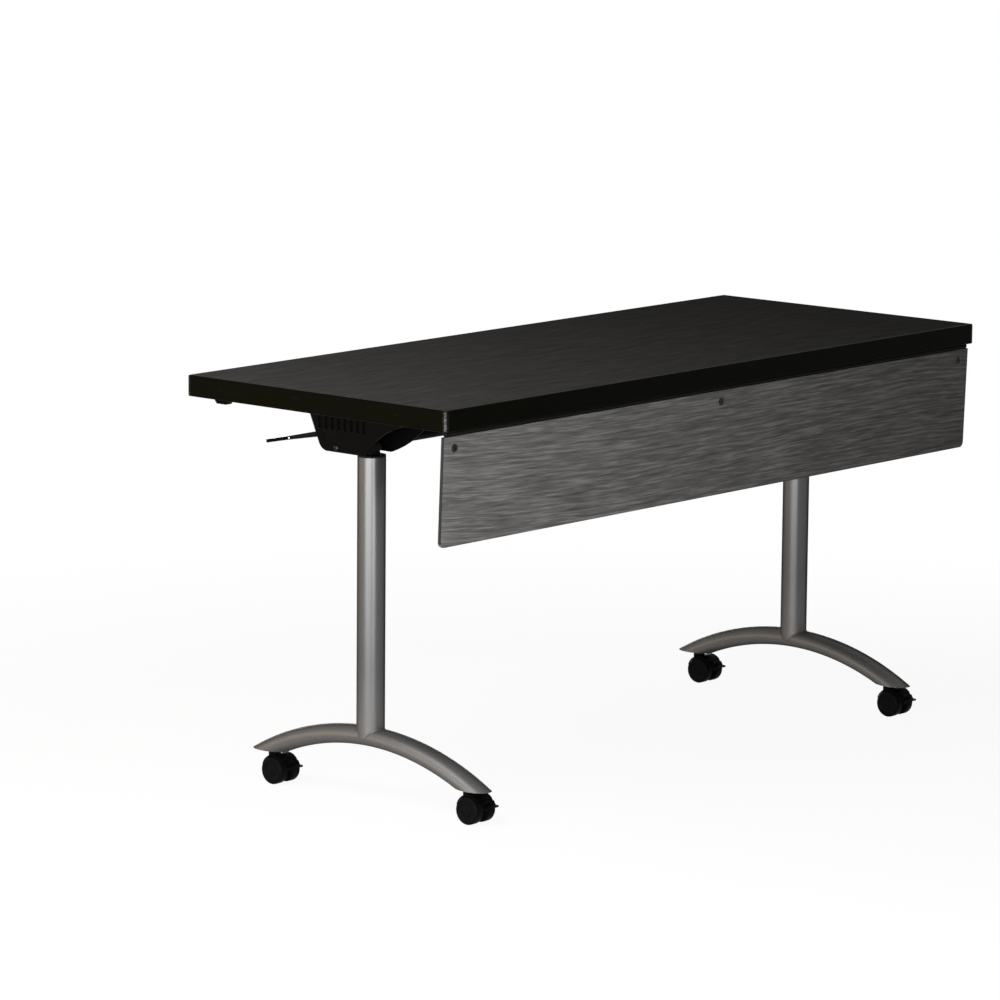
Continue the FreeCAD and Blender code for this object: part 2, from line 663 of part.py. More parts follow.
def hinge_bore():
    return rod_x(PIN_DIAMETER / 2 + RUNNING_FIT, -HINGE_LENGTH / 2, HINGE_LENGTH / 2, PIN_Y, PIN_Z)


def hinge_leaf():
    """The hanging leaf behind the panel, tangent to the back of its knuckles."""
    half = HINGE_LENGTH / 2
    back = PANEL_BACK + LEAF_THICKNESS
    pieces = [box(-half, half, PANEL_BACK, back, PANEL_TOP - LEAF_HEIGHT, PANEL_TOP)]
    for x0, x1 in knuckle_spans(1):
        pieces.append(rod_x(BARREL_RADIUS, x0, x1, PIN_Y, PIN_Z))
        pieces.append(box(x0, x1, PANEL_BACK, back, PANEL_TOP, PIN_Z))
    leaf = fuse(pieces).cut(hinge_bore())
    points = [panel_screw_point(x) for x in PANEL_SCREW_XS]
    length = PANEL_THICKNESS + LEAF_THICKNESS
    return leaf.cut([screw_hole(point, vec(0, 1, 0), length) for point in points])


def panel_bracket():
    """The hinge's fixed leaf under the top, tangent to the top of its knuckles."""
    half = HINGE_LENGTH / 2
    low = UNDERSIDE - LEAF_THICKNESS
    front = PIN_Y + BARREL_RADIUS + KNUCKLE_GAP
    pieces = [box(-half, half, front, front + LEAF_DEPTH, low, UNDERSIDE)]
    for x0, x1 in knuckle_spans(0):
        pieces.append(rod_x(BARREL_RADIUS, x0, x1, PIN_Y, PIN_Z))
        pieces.append(box(x0, x1, PIN_Y, front, low, UNDERSIDE))
    leaf = fuse(pieces).cut(hinge_bore())
    points = bracket_screw_points()
    return leaf.cut([screw_hole(point, vec(0, 0, 1), LEAF_THICKNESS) for point in points])


def bracket_screw_points():
    y = PIN_Y + BARREL_RADIUS + KNUCKLE_GAP + BRACKET_SCREW_Y
    pitch = HINGE_LENGTH / BRACKET_SCREWS
    xs = [(i + 0.5) * pitch - HINGE_LENGTH / 2 for i in range(BRACKET_SCREWS)]
    return [vec(x, y, UNDERSIDE - LEAF_THICKNESS) for x in xs]


def panel_nut(x):
    low = PANEL_BACK + LEAF_THICKNESS
    corners = [polar((x, PANEL_SCREW_Z), NUT_FLATS / math.sqrt(3), 60 * i) for i in range(7)]
    outline = Part.makePolygon([vec(px, low, pz) for px, pz in corners])
    nut = Part.Face(outline).extrude(vec(0, NUT_HEIGHT, 0))
    return nut.cut(rod_y(SCREW_DIAMETER / 2 + HOLE_FIT, low, low + NUT_HEIGHT, x, PANEL_SCREW_Z))


# Casters, modelled with the stem on the Z axis and the wheels trailing towards -Y
def pedal_pin():
    return polar((-CASTER_TRAIL, WHEEL_RADIUS), WHEEL_RADIUS + HOOD_GAP + PEDAL_PIN / 2, PEDAL_ANGLE)


def caster_hood():
    axle = (-CASTER_TRAIL, WHEEL_RADIUS)
    half = HOOD_WIDTH / 2
    web = WHEEL_INNER - WEB_GAP
    well = WHEEL_RADIUS + HOOD_GAP
    outer = well + HOOD_SKIN
    skirt = WHEEL_RADIUS + HOOD_SKIRT
    edge_y = polar(axle, outer, HOOD_EDGE_ANGLE)[0]
    crown = rod_x(outer, -half, half, *axle)
    crown = crown.cut(box(-half, half, -2 * outer, outer, -outer, skirt))
    crown = crown.cut(box(-half, half, -2 * outer, edge_y, skirt, 2 * outer))
    boss = rod_z(HOOD_BOSS / 2, skirt, HOOD_TOP, 0, 0)
    wells = [rod_x(well, -half, -web, *axle), rod_x(well, web, half, *axle)]
    crown = fuse([crown, boss]).cut(wells)
    web_disc = rod_x(well, -web, web, *axle)
    web_disc = web_disc.cut(box(-web, web, -2 * outer, outer, -outer, WHEEL_RADIUS))
    hub = rod_x(HOOD_HUB / 2, -web, web, *axle)
    ear = rod_x(PEDAL_EAR / 2, -web, web, *pedal_pin())
    hood = fuse([crown, web_disc, hub, ear])
    hood = hood.cut(rod_x(AXLE_DIAMETER / 2 + RUNNING_FIT, -web, web, *axle))
    hood = hood.cut(rod_x(PEDAL_PIN / 2 + RUNNING_FIT, -web, web, *pedal_pin()))
    return hood.cut(rod_z(STEM_DIAMETER / 2 + RUNNING_FIT, HOOD_TOP - STEM_SEAT, HOOD_TOP, 0, 0))


def caster_stem():
    return rod_z(STEM_DIAMETER / 2, HOOD_TOP - STEM_SEAT, SOCKET_END - STEM_END_GAP, 0, 0)


def caster_axle():
    reach = WHEEL_OUTER - AXLE_SKIN - RUNNING_FIT
    return rod_x(AXLE_DIAMETER / 2, -reach, reach, -CASTER_TRAIL, WHEEL_RADIUS)


def caster_wheel(sign):
    """A wheel turned about the axle, with a chamfered tread, a dished face and a hub cap."""
    rim = WHEEL_RADIUS - WHEEL_RIM
    cap = WHEEL_CAP / 2
    bore = AXLE_DIAMETER / 2 + RUNNING_FIT
    bore_end = WHEEL_OUTER - AXLE_SKIN
    dish = WHEEL_OUTER - WHEEL_DISH
    slope = 2 * WHEEL_CHAMFER
    profile = [(WHEEL_INNER, bore), (WHEEL_INNER, WHEEL_RADIUS - WHEEL_CHAMFER)]
    profile += [(WHEEL_INNER + WHEEL_CHAMFER, WHEEL_RADIUS), (WHEEL_OUTER - slope, WHEEL_RADIUS)]
    profile += [(WHEEL_OUTER, WHEEL_RADIUS - slope), (WHEEL_OUTER, rim), (dish, rim - WHEEL_DISH)]
    profile += [(dish, cap + WHEEL_DISH), (WHEEL_OUTER, cap), (WHEEL_OUTER, 0)]
    profile += [(bore_end, 0), (bore_end, bore)]
    corners = [vec(sign * x, -CASTER_TRAIL, WHEEL_RADIUS + r) for x, r in profile]
    face = Part.Face(Part.makePolygon(corners + corners[:1]))
    return face.revolve(vec(0, -CASTER_TRAIL, WHEEL_RADIUS), vec(1, 0, 0), 360)


def brake_pedal():
    """A wide tab on two arms that straddle the hood's web and turn on the pedal pin."""
    half = PEDAL_WIDTH / 2
    knee = (-CASTER_TRAIL - PEDAL_KNEE, WHEEL_RADIUS + PEDAL_DROP)
    tip = (-CASTER_TRAIL - PEDAL_REACH, WHEEL_RADIUS + PEDAL_DROP - PEDAL_TILT)
    pieces = [rod_x(PEDAL_PIN / 2, -half, half, *pedal_pin())]
    for x0, x1 in ((-half, -WHEEL_INNER), (WHEEL_INNER, half)):
        pieces.append(bar_x(pedal_pin(), knee, PEDAL_TAB, x0, x1))
    pieces.append(rod_x(PEDAL_TAB / 2, -half, half, *knee))
    pieces.append(bar_x(knee, tip, PEDAL_TAB, -half, half))
    return fuse(pieces)


def caster_place(shape, x, y):
    placed = shape.copy()
    placed.translate(vec(x, y, 0))
    return placed


def save_casters():
    for row, y in (("front", -CASTER_Y), ("back", CASTER_Y)):
        for name, side in SIDES.items():
            pieces = {"hood": caster_hood(), "stem": caster_stem(), "axle": caster_axle()}
            pieces["outer_wheel"] = caster_wheel(side)
            pieces["inner_wheel"] = caster_wheel(-side)
            pieces["brake_pedal"] = brake_pedal()
            for piece, shape in pieces.items():
                save(f"{row}_{name}_{piece}", [caster_place(shape, side * LEG_X, y)])


def save_base():
    for name, side in SIDES.items():
        save(name + "_foot", [leg_place(foot(), side)])
        save(name + "_column", [leg_place(column(), side)])
        save(name + "_leg_head", [leg_place(leg_head(), side)])
    both = SIDES.values()
    save("foot_end_plates", [leg_place(plate, side) for side in both for plate in foot_end_plates()])
    sockets = [caster_socket(-CASTER_Y), caster_socket(CASTER_Y)]
    save("caster_sockets", [leg_place(socket, side) for side in both for socket in sockets])
    grub = set_screw(SET_SCREW_DIAMETER / 2, SET_SCREW_LENGTH)
    save("leg_head_set_screws", [leg_place(grub, side) for side in both])
    save("pivot_tube", [pivot_tube()])


def save_top():
    up = vec(0, 0, 1)
    both = SIDES.values()
    housing_points = [point for side in both for point in housing_screw_points(side)]
    bracket_points = bracket_screw_points()
    bumper_points = [bumper_screw_point(x, y) for x, y in bumper_places()]
    points = housing_points + bracket_points + bumper_points
    holes = [screw_hole(point, up, WOOD_SCREW_LENGTH) for point in points]
    core_low = UNDERSIDE + BACKER
    core_high = TOP_HEIGHT - LAMINATE
    save("top_core", [top_layer(core_low, core_high, holes + [edge_barb()])])
    save("top_laminate", [top_layer(core_high, TOP_HEIGHT, [])])
    save("top_backer", [top_layer(UNDERSIDE, core_low, holes)])
    save("edge_moulding", [edge_moulding()])
    for name, side in SIDES.items():
        save(name + "_tilt_housing", [leg_place(tilt_housing(), side)])
    bushes = [pivot_bush(BOSS_FACE, CHEEK_IN), pivot_bush(-CHEEK_OUT, -BOSS_FACE)]
    save("pivot_bushes", [leg_place(bush, side) for side in both for bush in bushes])
    save("housing_screws", [screw(point, up, WOOD_SCREW_LENGTH) for point in housing_points])
    cover_screw = screw(cover_screw_point(), vec(-1, 0, 0), WOOD_SCREW_LENGTH)
    save("cover_screws", [leg_place(cover_screw, side) for side in both])
    save("nesting_bumpers", [nesting_bumper(x, y) for x, y in bumper_places()])
    save("bumper_screws", [screw(point, up, WOOD_SCREW_LENGTH) for point in bumper_points])
    save("panel_brackets", [panel_bracket()])
    save("bracket_screws", [screw(point, up, WOOD_SCREW_LENGTH) for point in bracket_points])
    save("panel_hinge_pins", [hinge_pin()])


def save_release():
    save("release_shaft", [release_shaft()])
    for name, side in SIDES.items():
        save(name + "_release_lever", [leg_place(release_lever(), side)])
        save(name + "_lever_grip", [leg_place(lever_grip(), side)])
    save("latch_springs", [leg_place(latch_spring(), side) for side in SIDES.values()])


def hung(shape):
    """Turns a piece of the panel about the hinge pin to the angle at which the panel hangs."""
    turned = shape.copy()
    turned.rotate(vec(0, PIN_Y, PIN_Z), vec(1, 0, 0), PANEL_HANG)
    return turned


def save_panel():
    length = PANEL_THICKNESS + LEAF_THICKNESS + NUT_HEIGHT
    screws = [screw(panel_screw_point(x), vec(0, 1, 0), length) for x in PANEL_SCREW_XS]
    save("modesty_panel", [hung(modesty_panel())])
    save("panel_hinge_leaves", [hung(hinge_leaf())])
    save("panel_screws", [hung(shape) for shape in screws])
    save("panel_nuts", [hung(panel_nut(x)) for x in PANEL_SCREW_XS])


os.makedirs("parts", exist_ok=True)
save_base()
save_top()
save_release()
save_panel()
save_casters()
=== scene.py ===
import json
import math
import bmesh
import bpy
from mathutils import Matrix, Vector


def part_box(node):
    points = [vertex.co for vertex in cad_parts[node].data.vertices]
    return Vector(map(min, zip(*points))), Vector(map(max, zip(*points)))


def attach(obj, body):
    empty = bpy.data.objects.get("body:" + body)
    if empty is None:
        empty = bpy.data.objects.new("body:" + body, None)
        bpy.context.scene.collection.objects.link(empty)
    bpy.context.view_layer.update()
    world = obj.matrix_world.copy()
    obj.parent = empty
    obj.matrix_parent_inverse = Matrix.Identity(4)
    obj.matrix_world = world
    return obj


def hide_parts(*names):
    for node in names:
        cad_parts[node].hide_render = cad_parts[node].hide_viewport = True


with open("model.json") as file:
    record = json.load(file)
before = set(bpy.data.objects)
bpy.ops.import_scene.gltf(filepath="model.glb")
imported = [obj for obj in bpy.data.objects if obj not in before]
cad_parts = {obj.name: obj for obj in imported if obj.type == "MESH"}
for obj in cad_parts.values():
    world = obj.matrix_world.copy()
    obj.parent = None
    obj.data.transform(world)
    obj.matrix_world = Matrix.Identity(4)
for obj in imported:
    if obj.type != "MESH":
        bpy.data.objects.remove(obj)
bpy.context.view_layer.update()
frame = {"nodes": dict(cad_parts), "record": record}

# Flip-top training table: finishes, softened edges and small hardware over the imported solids, in metres

MM = 0.001
QUARTER_TURN = math.pi / 2
FULL_TURN = 2 * math.pi
FORWARD = (0, -1, 0)
DOWN = (0, 0, -1)
WHITE = (1.0, 1.0, 1.0)


def grey(level, warmth=0.0):
    """A grey. Warmth adds red and takes blue away."""
    return (level * (1 + warmth), level, level * (1 - warmth))


# Camera that took the photograph
LENS = 185.2
SENSOR = 36.0
CLIP_END = 200.0
CAMERA_PLACE = (-7.2124, -5.9899, 2.0748)
CAMERA_YAW = 0.85917
CAMERA_PITCH = -0.17016
CAMERA_ROLL = 0.00858

# Floor and background
FLOOR_SIZE = 60.0
FLOOR_GLOW = 0.93
FLOOR_COLOUR = grey(0.9)
SHADOW_REACH = 1.0
SHADOW_FADE = 2.2
SKY_FILL = 0.03

# Lamps
COLUMN_TARGET = (-0.612, 0.0, 0.45)
LOW_PLACE = (-2.82, -0.63, 0.45)
LOW_SIZE = (2.3, 0.9)
LOW_POWER = 90.0
FRONT_PLACE = (-1.76, -1.99, 0.45)
FRONT_SIZE = (0.8, 0.9)
FRONT_POWER = 36.0
HIGH_PLACE = (-2.09, 0.26, 2.3)
HIGH_TARGET = (-0.612, 0.0, 0.3)
HIGH_SIZE = (1.2, 1.2)
HIGH_POWER = 44.0
WARM_PLACE = (-2.46, 2.36, 0.6)
WARM_SIZE = (3.4, 1.1)
WARM_POWER = 33.0
WARM_COLOUR = (1.0, 0.66, 0.36)
BACK_PLACE = (2.9, 3.1, 0.45)
BACK_TARGET = (0.0, 0.0, 0.45)
BACK_SIZE = (3.0, 0.55)
BACK_POWER = 90.0

# Table sizes that the finishes and the added pieces need
TOP_SIZE = Vector(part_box("edge_moulding")[1]) - Vector(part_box("edge_moulding")[0])
PANEL_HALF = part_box("modesty_panel")[1][0]
COLUMN_RADIUS = 25.4 * MM
FOOT_ARC = 549.0 * MM
FOOT_TOP = 135.0 * MM
FOOT_WIDTH = 48.0 * MM
FOOT_HEIGHT = 35.0 * MM
LEG_X = 612.0 * MM

# Laminate: the panel lies below PANEL_LIMIT, and its streaks run downhill at its left end. The same laminate
# is painted darker on the top (painted shade) and lighter on the panel (painted light)
PANEL_LIMIT = 0.73
STREAK_BEND = 0.038
STREAK_LEAN = 0.017
STREAK_WAVER = 0.007
WAVER_SCALE = (4.0, 9.0)
BROAD_SCALE = (4.0, 55.0)
STREAK_SCALE = (9.0, 230.0)
FIBRE_SCALE = (24.0, 640.0)
BROAD_SHARE = 0.14
STREAK_SHARE = 0.56
FIBRE_SHARE = 0.30
MIDDLE_TONE = 0.5
TOP_CONTRAST = 0.65
# the next two tones are painted shade on the top and painted light on the panel
TOP_PAINTED_SHADE = 0.44
PANEL_PAINTED_LIGHT = 0.515
LAMINATE_TONES = ((0.36, grey(0.043, 0.04)), (0.50, grey(0.078, 0.035)), (0.63, grey(0.140, 0.03)))
LAMINATE_ROUGHNESS = (0.66, 0.54)
STREAK_RELIEF = 0.7
EDGE_BAND = 0.8 * MM
BAND_COLOUR = grey(0.018)

# Edge vinyl
VINYL_TONES = ((0.3, (0.00049, 0.00062, 0.00013)), (0.7, (0.00092, 0.00116, 0.00024)))
VINYL_ROUGHNESS = (0.32, 0.46)
VINYL_SCUFF = grey(0.012)
VINYL_SCUFF_SHARE = 0.35
VINYL_SCUFF_DULLING = 0.12
RUBBED_CORNER = 9.0 * MM

# Moulded nylon
NYLON_GRAIN_SHARE = 0.4
NYLON_GRAIN_LIFT = 1.5
NYLON_DULLING = 0.16

# Silver paint, scuffed and dusty below SCUFF_LOW and clean above SCUFF_HIGH
SCUFF_LOW = 0.10
SCUFF_HIGH = 0.24
PAINT_EDGE = grey(0.04)
PAINT_DUSTY = (grey(0.080, 0.03), grey(0.098, 0.03))
PAINT_FRESH = (grey(0.067), grey(0.076))
PAINT_FLAKE = grey(0.12)
PAINT_FLAKE_SHARE = 0.2
PAINT_FLAKE_DULLING = 0.06
PAINT_METALLIC = (0.62, 0.74)
PAINT_ROUGHNESS = (0.42, 0.29)
PEEL_RELIEF = 0.8

# Steel, black paint and casting
STEEL_DULLING = 0.2
BLACK_TONES = ((0.3, grey(0.003)), (0.7, grey(0.006)))
BLACK_ROUGHNESS = (0.38, 0.55)
WORN_SPECK = grey(0.10)
CAST_TONES = ((0.3, grey(0.003)), (0.75, grey(0.009)))
CAST_ROUGHNESS = (0.5, 0.75)

# Board, backer and bushes
BOARD_TONES = ((0.2, (0.21, 0.13, 0.07)), (0.6, (0.42, 0.30, 0.18)), (0.9, (0.58, 0.45, 0.30)))
BOARD_CHIP_SHARE = 0.7
BACKER_TONES = ((0.3, (0.007, 0.0065, 0.006)), (0.7, (0.014, 0.013, 0.012)))
BACKER_ROUGHNESS = (0.55, 0.75)
ACETAL_COLOURS = ((0.50, 0.47, 0.40), (0.62, 0.60, 0.54))
ACETAL_ROUGHNESS = (0.35, 0.5)

# Softened copies of solids: how far each kind of edge is rounded
MERGE = 0.01 * MM
FLAT_ANGLE = math.radians(0.5)
SHARP_ANGLE = math.radians(32.0)
ROUNDING_SEGMENTS = 2
ROUNDINGS = {
    "tilt_housing": 0.9 * MM,
    "hood": 0.7 * MM,
    "brake_pedal": 0.5 * MM,
    "release_lever": 0.7 * MM,
    "lever_grip": 1.4 * MM,
    "nesting_bumpers": 0.8 * MM,
    "panel_brackets": 0.4 * MM,
    "panel_hinge_leaves": 0.4 * MM,
    "modesty_panel": 0.7 * MM,
    "leg_head": 0.8 * MM,
}

# Screws
HEAD_SEGMENTS = 24
HEAD_RADIUS = 5.0 * MM
PANEL_HEAD_RADIUS = 7.5 * MM
HEAD_HEIGHT = 2.5 * MM
HEAD_WALL = 0.8 * MM
DOME_STEPS = 4
SOCKET_SHARE = 0.36
SOCKET_DEPTH = 1.4 * MM
SOCKET_SIDE = math.pi / 3
SHANK_RADIUS = 2.4 * MM
SHANK_TAPER = 0.6
SHANK_SEGMENTS = 12

# Rivets that hold the grips on the levers
RIVET_PLACE = (196.0 * MM, 631.3 * MM)
RIVET_SEAT = 4.0 * MM
RIVET_RADIUS = 2.6 * MM
RIVET_HEIGHT = 1.2 * MM
RIVET_STEPS = 5
RIVET_SEGMENTS = 20

# Wheels: points and shoulders as shares of the width and of the radius
WHEEL_STEPS = 64
SHOULDER_STEPS = 5
INNER_FACE = ((0.0, 0.0), (0.0, 0.34), (0.06, 0.36), (0.06, 0.80), (0.0, 0.82), (0.0, 0.93))
INNER_SHOULDER = 0.10
OUTER_SHOULDER = 0.24
OUTER_FACE = ((1.0, 0.76), (0.95, 0.72), (0.92, 0.66), (0.90, 0.40), (0.93, 0.37), (0.98, 0.34),
              (1.0, 0.28), (1.0, 0.0))

# Welds
WELD_RADIUS = 1.5 * MM
WELD_POINTS = 96
WELD_RESOLUTION = 3

# Sockets of a Mix node that mixes colours, and of a Mix Shader node
MIX_FIRST = 6
MIX_SECOND = 7
MIX_RESULT = 2
SHADER_FIRST = 1
SHADER_SECOND = 2


class Wire:
    """A shader socket that takes part in Python arithmetic by adding Math nodes."""

    def __init__(self, nodes, socket):
        self.nodes = nodes
        self.socket = socket

    def math(self, operation, *values):
        return self.nodes.add("ShaderNodeMath", {"operation": operation}, dict(enumerate(values)))

    def __add__(self, other):
        return self.math("ADD", self, other)

    def __radd__(self, other):
        return self.math("ADD", other, self)

    def __sub__(self, other):
        return self.math("SUBTRACT", self, other)

    def __rsub__(self, other):
        return self.math("SUBTRACT", other, self)

    def __mul__(self, other):
        return self.math("MULTIPLY", self, other)

    def __rmul__(self, other):
        return self.math("MULTIPLY", other, self)

    def __abs__(self):
        return self.math("ABSOLUTE", self)

    def clamped(self):
        return self.nodes.add("ShaderNodeClamp", {}, {"Value": self})


def opaque(colour):
    """A colour with its alpha, as a socket takes it. A wire stays as it is."""
    return colour if isinstance(colour, Wire) else (*colour, 1.0)


class Nodes:
    """A node tree, and the one way to add a node to it."""

    def __init__(self, tree):
        self.tree = tree

    def add(self, kind, settings, inputs, output=0):
        node = self.tree.nodes.new(kind)
        for key, value in settings.items():
            if key == "stops":
                self.set_stops(node.color_ramp, value)
            else:
                setattr(node, key, value)
        for key, value in inputs.items():
            if isinstance(value, Wire):
                self.tree.links.new(value.socket, node.inputs[key])
            else:
                node.inputs[key].default_value = value
        return Wire(self, node.outputs[output])

    def set_stops(self, ramp, stops):
        while len(ramp.elements) < len(stops):
            ramp.elements.new(1.0)
        for element, (position, colour) in zip(ramp.elements, stops):
            element.position = position
            element.color = opaque(colour)


class Finish(Nodes):
    """One procedural material. Constants go on the shader's sockets, patterns are linked to them."""

    def __init__(self, name, **constants):
        self.material = bpy.data.materials.new(name)
        self.material.use_nodes = True
        super().__init__(self.material.node_tree)
        self.shader = self.tree.nodes["Principled BSDF"]
        for socket, value in constants.items():
            self.shader.inputs[socket.replace("_", " ")].default_value = value
        self.place = self.add("ShaderNodeTexCoord", {}, {}, "Object")

    def link(self, socket, wire):
        self.tree.links.new(wire.socket, self.shader.inputs[socket])

    def axes(self):
        """The object's own X, Y and Z."""
        return [self.add("ShaderNodeSeparateXYZ", {}, {"Vector": self.place}, axis) for axis in "XYZ"]

    def scaled(self, *factors):
        values = {"Vector": self.place, "Scale": factors}
        return self.add("ShaderNodeMapping", {"vector_type": "POINT"}, values)

    def noise(self, place, scale=1.0, detail=4.0, roughness=0.5):
        values = {"Vector": place, "Scale": scale, "Detail": detail, "Roughness": roughness}
        return self.add("ShaderNodeTexNoise", {}, values, "Fac")

    def streaks(self, along, across, scales, detail, roughness=0.5):
        """Noise drawn out along one direction, by its scales along and across it."""
        values = {"X": along * scales[0], "Y": across * scales[1]}
        return self.noise(self.add("ShaderNodeCombineXYZ", {}, values), detail=detail, roughness=roughness)

    def ramp(self, factor, stops):
        return self.add("ShaderNodeValToRGB", {"stops": stops}, {"Fac": factor}, "Color")

    def spread(self, factor, low, high):
        """Maps 0..1 to low..high."""
        return factor * (high - low) + low

    def above(self, pattern, start, gain):
        """0 up to start, then rising by gain to 1."""
        return ((pattern - start) * gain).clamped()

    def blend(self, factor, first, second):
        inputs = {"Factor": factor, MIX_FIRST: opaque(first), MIX_SECOND: opaque(second)}
        return self.add("ShaderNodeMix", {"data_type": "RGBA"}, inputs, MIX_RESULT)

    def bump(self, height, strength, distance):
        values = {"Height": height, "Strength": strength, "Distance": distance}
        self.link("Normal", self.add("ShaderNodeBump", {}, values, "Normal"))


# Finishes
def laminate_finish():
    """Charcoal laminate with fine wavering streaks along the table, and a dark band on the panel's ends;
    painted shade darkens the top and painted light lightens the panel.
    """
    finish = Finish("streaked_laminate", Specular_IOR_Level=0.0)
    x, y, z = finish.axes()
    hanging = z.math("LESS_THAN", z, PANEL_LIMIT)
    fall = x * x * (x * STREAK_BEND - STREAK_LEAN)
    across = y + z + fall * hanging
    across = across + finish.streaks(x, across, WAVER_SCALE, detail=2.0) * STREAK_WAVER
    broad = finish.streaks(x, across, BROAD_SCALE, detail=3.0)
    streak = finish.streaks(x, across, STREAK_SCALE, detail=3.0, roughness=0.6)
    fibre = finish.streaks(x, across, FIBRE_SCALE, detail=2.0)
    strength = finish.spread(hanging, TOP_CONTRAST, 1.0)
    # painted shade on the top and painted light on the panel: one laminate's tone shifted by which way it
    # faces
    shade = finish.spread(hanging, TOP_PAINTED_SHADE, PANEL_PAINTED_LIGHT)
    pattern = broad * BROAD_SHARE + streak * STREAK_SHARE + fibre * FIBRE_SHARE
    tone = (pattern - MIDDLE_TONE) * strength + shade
    reach = abs(x)
    band = hanging * reach.math("GREATER_THAN", reach, PANEL_HALF - EDGE_BAND)
    finish.link("Base Color", finish.blend(band, finish.ramp(tone, LAMINATE_TONES), BAND_COLOUR))
    finish.link("Roughness", finish.spread(streak, *LAMINATE_ROUGHNESS))
    finish.bump(streak * STREAK_RELIEF + fibre * (1 - STREAK_RELIEF), strength=0.06, distance=0.3 * MM)
    return finish.material


def vinyl_finish():
    """Satin black edge vinyl with a fine moulded grain, faint scuffs and rubbed, shinier corners."""
    finish = Finish("edge_vinyl", Specular_IOR_Level=0.013, Coat_Roughness=0.28)
    x, y = finish.axes()[:2]
    grain = finish.noise(finish.place, scale=1400.0, detail=3.0, roughness=0.6)
    scuff = finish.noise(finish.scaled(18.0, 18.0, 90.0), detail=5.0, roughness=0.65)
    mark = finish.above(scuff, start=0.62, gain=6.0)
    nick = finish.noise(finish.scaled(150.0, 150.0, 330.0), detail=3.0, roughness=0.6)
    end = finish.above(abs(x), start=TOP_SIZE.x / 2 - RUBBED_CORNER, gain=1 / RUBBED_CORNER)
    side = finish.above(abs(y), start=TOP_SIZE.y / 2 - RUBBED_CORNER, gain=1 / RUBBED_CORNER)
    colour = finish.ramp(grain, VINYL_TONES)
    finish.link("Base Color", finish.blend(mark * VINYL_SCUFF_SHARE, colour, VINYL_SCUFF))
    finish.link("Roughness", finish.spread(grain, *VINYL_ROUGHNESS) + mark * VINYL_SCUFF_DULLING)
    finish.link("Coat Weight", end * side * finish.above(nick, start=0.3, gain=2.2))
    finish.bump(grain, strength=0.12, distance=0.2 * MM)
    return finish.material


def moulding_finish(name, low, high, fineness, gloss):
    """Moulded black nylon: spark-eroded grain, with dust lighter on it in patches."""
    finish = Finish(name, Specular_IOR_Level=0.014)
    grain = finish.noise(finish.place, scale=fineness, detail=3.0, roughness=0.55)
    patch = finish.noise(finish.place, scale=28.0, detail=4.0, roughness=0.6)
    colour = finish.blend(patch, grey(low), grey(high))
    raised = grey(high * NYLON_GRAIN_LIFT)
    finish.link("Base Color", finish.blend(grain * NYLON_GRAIN_SHARE, colour, raised))
    finish.link("Roughness", finish.spread(patch, gloss, gloss + NYLON_DULLING))
    finish.bump(grain, strength=0.22, distance=0.2 * MM)
    return finish.material


def silver_finish():
    """Satin silver powder coat: flake, slight orange peel, cloudy spray, and scuffs near the floor."""
    finish = Finish("silver_powder_coat", Specular_IOR_Level=0.02, Specular_Tint=opaque(PAINT_EDGE))
    height = finish.axes()[2]
    clean = finish.above(height, start=SCUFF_LOW, gain=1 / (SCUFF_HIGH - SCUFF_LOW))
    flake = finish.noise(finish.place, scale=2600.0, detail=2.0)
    cloud = finish.noise(finish.place, scale=9.0, detail=3.0)
    peel = finish.noise(finish.place, scale=420.0, detail=2.0)
    scuff = finish.noise(finish.scaled(60.0, 12.0, 60.0), detail=4.0, roughness=0.6)
    colour = finish.blend(clean, finish.blend(scuff, *PAINT_DUSTY), finish.blend(cloud, *PAINT_FRESH))
    finish.link("Base Color", finish.blend(flake * PAINT_FLAKE_SHARE, colour, PAINT_FLAKE))
    finish.link("Metallic", finish.spread(clean, *PAINT_METALLIC))
    finish.link("Roughness", finish.spread(clean, *PAINT_ROUGHNESS) + flake * PAINT_FLAKE_DULLING)
    finish.bump(peel * PEEL_RELIEF + flake * (1 - PEEL_RELIEF), strength=0.05, distance=0.3 * MM)
    return finish.material


def steel_finish(name, dark, bright, rough, line_scale):
    """Plated or turned steel with fine lines round or along the piece and dull spots."""
    finish = Finish(name, Metallic=1.0)
    line = finish.noise(finish.scaled(*line_scale), detail=3.0, roughness=0.6)
    spot = finish.noise(finish.place, scale=130.0, detail=4.0, roughness=0.6)
    finish.link("Base Color", finish.blend(spot, grey(dark), grey(bright)))
    finish.link("Roughness", finish.spread(line, rough, rough + STEEL_DULLING))
    finish.bump(line, strength=0.08, distance=0.2 * MM)
    return finish.material


def black_paint_finish():
    """Black powder coat on steel, with orange peel and a few worn grey specks."""
    finish = Finish("black_powder_coat", Specular_IOR_Level=0.012)
    peel = finish.noise(finish.place, scale=700.0, detail=2.0)
    wear = finish.noise(finish.place, scale=210.0, detail=5.0, roughness=0.7)
    speck = finish.above(wear, start=0.70, gain=9.0)
    finish.link("Base Color", finish.blend(speck, finish.ramp(peel, BLACK_TONES), WORN_SPECK))
    finish.link("Roughness", finish.spread(peel, *BLACK_ROUGHNESS))
    finish.bump(peel, strength=0.15, distance=0.3 * MM)
    return finish.material


def cast_finish():
    """Black painted casting with a sand-cast skin."""
    finish = Finish("black_casting", Specular_IOR_Level=0.02)
    sand = finish.noise(finish.place, scale=520.0, detail=6.0, roughness=0.7)
    finish.link("Base Color", finish.ramp(sand, CAST_TONES))
    finish.link("Roughness", finish.spread(sand, *CAST_ROUGHNESS))
    finish.bump(sand, strength=0.45, distance=0.5 * MM)
    return finish.material


